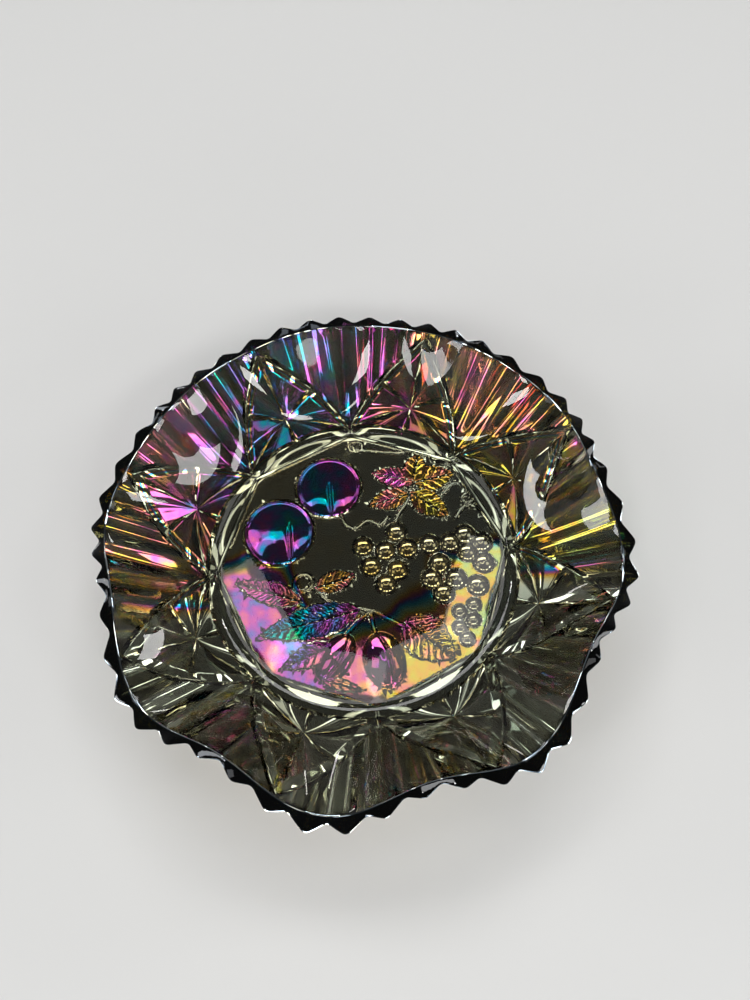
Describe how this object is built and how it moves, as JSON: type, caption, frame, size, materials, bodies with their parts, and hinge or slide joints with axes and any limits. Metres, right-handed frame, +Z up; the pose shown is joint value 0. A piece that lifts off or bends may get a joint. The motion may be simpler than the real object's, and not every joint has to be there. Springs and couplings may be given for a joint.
{
  "type": "ruffled glass bowl",
  "caption": "Wide shallow pressed smoke-glass bowl with a ruffled sawtooth rim, ribbed fans and star fields outside, an octagonal foot and a smooth inside, for fruit or display.",
  "frame": {"origin": "on the bowl's axis, on the plane of the foot that the bowl stands on", "axes": "+Z up along the bowl's axis, +X toward a corner of the octagonal foot"},
  "size_m": [0.284, 0.284, 0.0578],
  "materials": {
    "smoke_glass": "clear smoke-grey glass, smooth inside, with a thin iridescent film outside"
  },
  "bodies": {
    "root": {"bowl": "smoke_glass"}
  },
  "joints": []
}
